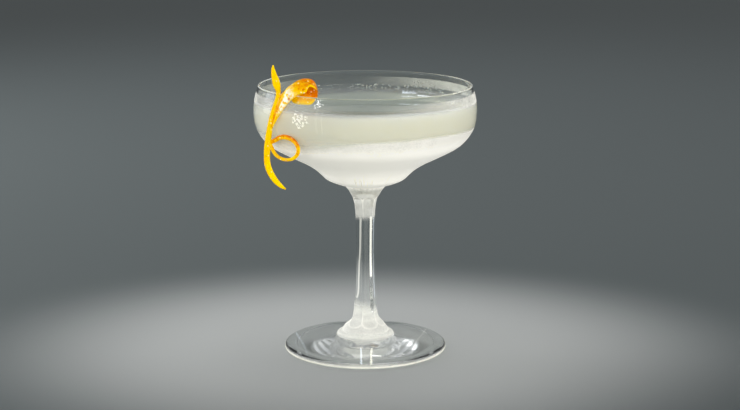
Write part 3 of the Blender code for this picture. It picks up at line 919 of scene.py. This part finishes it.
def leaf():
    # A sheet through the three rails, bulged between them, with the peel's thickness on both sides of it
    rails = metres(peel["leaf"])
    front, crest, back = (smoothThrough(rails[:, i:i + 3], perSpan=8) for i in (0, 3, 6))
    outwards = unit(crest * [1, 1, 0])
    frontLength = np.linalg.norm(crest - front, axis=1)[:, None]
    backDrop = np.clip(crest[:, 2:] - back[:, 2:], 0, None)
    lines = np.stack([front, (front + crest) / 2 + peel["leafFrontBulge"] * frontLength * outwards, crest,
                      (crest + back) / 2 - peel["leafBackBulge"] * backDrop * outwards, back], axis=1)
    sheet = np.array([smoothThrough(section, perSpan=7) for section in lines])
    skin = unit(np.cross(np.gradient(sheet, axis=1), np.gradient(sheet, axis=0)))
    along, across = np.linspace(0, 1, sheet.shape[0])[:, None], np.linspace(-1, 1, sheet.shape[1])
    acrossPower, alongPower = peel["leafEdge"]
    rounded = np.sqrt(1 - across**acrossPower)
    half = np.minimum(peel["thickness"], peel["thinnest"] * frontLength) / 2
    half = half * np.sqrt(1 - along**alongPower)
    offset = (half * rounded)[..., None] * skin
    side = np.tile(rounded, (len(sheet), 1))
    tone = peel["leafTone"] + sum(patch(along, across, *settings) for settings in peel["leafPatches"])
    tone, glossAndPaintedShine = np.clip(tone, 0, 1), patch(along, across, *peel["leafGlossAndPaintedShine"])
    return folded(sheet + offset, sheet - offset), folded(-side, side), folded(tone, tone), folded(glossAndPaintedShine, glossAndPaintedShine)


def joinedPiece(name, parts):
    # Several closed skins as one piece
    pieces = []
    for index, (points, side, tone, glossAndPaintedShine) in enumerate(parts):
        part = skinOver(f"{name}{index}", points, [peelSkin])
        pointValues(part, "skinSide", side)
        pointValues(part, "tone", tone)
        pointValues(part, "glossAndPaintedShine", glossAndPaintedShine)
        pieces.append(part)
    with bpy.context.temp_override(active_object=pieces[0], selected_editable_objects=pieces):
        bpy.ops.object.join()
    pieces[0].name = name
    return pieces[0]


peelSkin = peelMaterial()
peelPiece = joinedPiece("orangePeel", [mainStrip(), leaf(), curl()])
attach(peelPiece, "root")
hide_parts("orange_twist")
countFaces(peelPiece)


# Studio: a floor with a painted pool of light, pale near the glass, soft lights and the camera

studio = {
    "floorRadii": (0.02, 6, 40),  # the first ring's, the last's and how many there are
    "floorSides": 96,
    "floorDrop": 0.00005,  # under the foot, so that the two never share a plane
    "floorNear": (0.62, 0.625, 0.61, 1), "floorFar": (0.13, 0.148, 0.148, 1), "fade": (0.045, 0.17),
    "poolWider": 1.25,  # how much wider than deep the painted pool of light is
    "floorThick": 0.01, "floorRoughness": 0.7,
}

lights = {  # place, height aimed at on the axis, width, height, watts, colour, whether the glass shows it
    "windowLeft": ((-0.88, 0.47, 0.45), 0.1, 0.3, 0.9, 1, (0.97, 0.99, 1), True),
    "softLeft": ((-0.86, 0.45, 0.45), 0.1, 0.5, 0.9, 5.7, (0.97, 0.99, 1), False),
    "softRight": ((0.95, 0.55, 0.3), 0.09, 0.2, 0.6, 1.6, (1, 0.97, 0.92), False),
    "frontLeft": ((-0.55, -0.95, 0.3), 0.1, 0.6, 0.5, 4.9, (1, 0.99, 0.97), False),
    "lowFront": ((0.1, -0.9, 0.08), 0.08, 0.8, 0.1, 1.6, (1, 0.99, 0.96), False),
    "lowRight": ((0.8, -0.5, 0.14), 0.09, 0.5, 0.25, 5.3, (1, 0.98, 0.94), False),
    "overheadBack": ((0.15, 0.45, 1), 0.05, 0.6, 0.3, 1.2, (1, 1, 1), False),
    "slatLeft": ((-0.236, -0.221, 0.1), 0.1, 0.014, 0.2, 0.0075, (1, 1, 0.97), True),
    "slatFront": ((-0.213, -0.244, 0.09), 0.09, 0.006, 0.18, 0.005, (1, 1, 0.97), True),
    "sliverBack": ((0.0482, 1.03, 0.2373), 0.11, 0.017, 0.002, 0.00022, (0.8, 0.88, 1), True),
    "sliverBackHigh": ((0.0472, 1.03, 0.245), 0.11, 0.017, 0.0018, 0.00019, (0.86, 0.91, 1), True),
    "sliverBackRight": ((0.0705, 1.03, 0.2412), 0.11, 0.024, 0.0022, 0.0007, (0.88, 0.92, 1), True),
    "softBack": ((-0.085, 1.03, 0.8), 0.11, 0.2, 0.12, 1.3, (0.84, 0.91, 1), False),
}
stemCards = {  # narrow strips that show as lines in the stem's panels: place, width, watts, colour, lean
    "cardFrontRight": ((0.0257, -0.0409), 0.003, 0.00052, (1, 0.98, 0.86), 0),
    "cardBackRight": ((0.0286, 0.0386), 0.0006, 0.00006, (1, 0.97, 0.86), -0.03),
    "cardBackLeft": ((-0.0338, 0.0335), 0.001, 0.00012, (0.8, 0.9, 1), 0),
}
stemCard = {"middle": 0.032, "height": 0.056}
footCards = {  # two more, turned to the front, whose mirror images lie on the foot: x, watts and colour
    "cardFootLeft": (-0.002, 0.00016, (0.8, 0.88, 1)),
    "cardFootRight": (0.0029, 0.00018, (1, 0.98, 0.8)),
}
footCard = {"y": -0.0135, "middle": 0.0165, "width": 0.0009, "height": 0.015}
lampClusters = {  # round lamps that make the petalled sparkles: middle, reach, how many, width, watts each
    "petals": ((-0.327, -0.15, 0.088), 0.064, 17, 0.021, 0.0072),
    "splash": ((-0.72, -0.6, 0.45), 0.085, 9, 0.04, 0.033),
}
clusterTurn = 2.4  # radians from each lamp to the next, outwards in a spiral
clusterAim = 0.10
clusterColour = (1.0, 1.0, 0.97)
lightClear = 0.32  # a lamp lower than this doesn't light the floor

air = {
    "bright": (0.8, 0.82, 0.83, 1), "dim": (0.22, 0.23, 0.235, 1),
    "sides": (0.35, 0.9),  # how far sideways it gets bright
    "sidesTop": (0.5, 0.2), "sidesBottom": (-0.02, 0.16), "back": (0.2, 0.5),
    "backUp": (0.42, 0.62), "backShare": 0.35,
}
camera = {
    "place": (0.00207, -0.71325, 0.21576), "downwards": 0.2091,
    "lens": 1657.33 * 36 / 740,  # focal length in pixels, times the sensor's width, over the frame's
}


def floorMaterial():
    # A painted pool of light: from near to far with a smooth step of the distance from the axis, which
    # counts less sideways
    material, tree, shader = blankMaterial("floorPaintedPool", {"Roughness": studio["floorRoughness"]})
    squeezed = addNode(tree, "Mapping", Vector=objectPlace(tree), Scale=(1 / studio["poolWider"], 1.0, 1.0))
    flat = addNode(tree, "VectorMath", {"operation": "LENGTH"})
    tree.links.new(squeezed.outputs["Vector"], flat.inputs[0])
    far = stepped(flat.outputs["Value"], *studio["fade"], "SMOOTHERSTEP")
    feed(shader, Base_Color=mixed(far, studio["floorNear"], studio["floorFar"]))
    return material


def floorDisc():
    radii = np.geomspace(*studio["floorRadii"])
    top = turned(np.column_stack([radii, np.full(len(radii), -studio["floorDrop"])]), studio["floorSides"])
    under = top[::-1] - np.array([0, 0, studio["floorThick"]])
    return skinOver("floor", np.concatenate([top, under]), [floorMaterial()])


def areaLight(name, place, target, width, height, power, colour, shows, lean=0.0):
    data = bpy.data.lights.new(name, "AREA")
    data.shape = "ELLIPSE" if width == height else "RECTANGLE"
    data.size, data.size_y, data.energy, data.color = width, height, power, colour
    lamp = bpy.data.objects.new(name, data)
    lamp.location = place
    x, y, z = np.subtract(target, place)
    tilt, heading = math.atan2(math.hypot(x, y), -z), math.atan2(-x, y)
    lamp.rotation_euler = (Matrix.Rotation(heading, 3, "Z") @ Matrix.Rotation(tilt, 3, "X")
                           @ Matrix.Rotation(lean, 3, "Z")).to_euler()
    lamp.visible_glossy = lamp.visible_transmission = shows
    lamp.visible_camera = False
    if place[2] < lightClear:
        lamp.light_linking.receiver_collection = offFloor
    scene.collection.objects.link(lamp)


floor = floorDisc()
offFloor = bpy.data.collections.new("litBySmallLamps")  # what the low lamps light: all but the floor
offFloor.objects.link(floor)
offFloor.collection_objects[0].light_linking.link_state = "EXCLUDE"
for name, (place, aim, *settings) in lights.items():
    areaLight(name, place, (0.0, 0.0, aim), *settings)
for name, (place, width, power, colour, lean) in stemCards.items():
    middle, height = stemCard["middle"], stemCard["height"]
    areaLight(name, (*place, middle), (0.0, 0.0, middle), width, height, power, colour, True, lean)
for name, (x, power, colour) in footCards.items():
    place, target = (x, footCard["y"], footCard["middle"]), (x, -1.0, footCard["middle"])
    areaLight(name, place, target, footCard["width"], footCard["height"], power, colour, True)
for name, (middle, reach, count, width, power) in lampClusters.items():
    across = np.array([-middle[1], middle[0], 0.0]) / math.hypot(middle[0], middle[1])
    for index in range(count):
        turn, away = clusterTurn * index, reach * math.sqrt(index / count)
        place = middle + away * (math.cos(turn) * across + np.array([0, 0, math.sin(turn)]))
        areaLight(f"{name}{index}", place, (0.0, 0.0, clusterAim), width, width, power, clusterColour, True)


def studioAir():
    # Bright at both sides, low down, and a little at the back, high up
    world = bpy.data.worlds.new("studioAir")
    world.use_nodes = True
    tree = world.node_tree
    towards = addNode(tree, "TexCoord").outputs["Generated"]
    x, y, z = addNode(tree, "SeparateXYZ", Vector=towards).outputs
    sides = times(stepped(maths("ABSOLUTE", x), *air["sides"]),
                  times(stepped(z, *air["sidesTop"]), stepped(z, *air["sidesBottom"])))
    back = times(stepped(y, *air["back"]), stepped(z, *air["backUp"]))
    share = maths("MAXIMUM", sides, times(back, air["backShare"]))
    feed(tree.nodes["Background"], Color=mixed(share, air["dim"], air["bright"]))
    return world


scene.world = studioAir()
scene.camera = bpy.data.objects.new("camera", bpy.data.cameras.new("camera"))
scene.camera.data.lens = camera["lens"]
scene.camera.location = camera["place"]
scene.camera.rotation_euler = (math.pi / 2 - camera["downwards"], 0, 0)
scene.collection.objects.link(scene.camera)
scene.view_settings.view_transform = "Standard"
scene.cycles.transparent_max_bounces = 32
scene.cycles.max_bounces = 24
scene.cycles.transmission_bounces = 24
scene.cycles.glossy_bounces = 12
print("studio set")
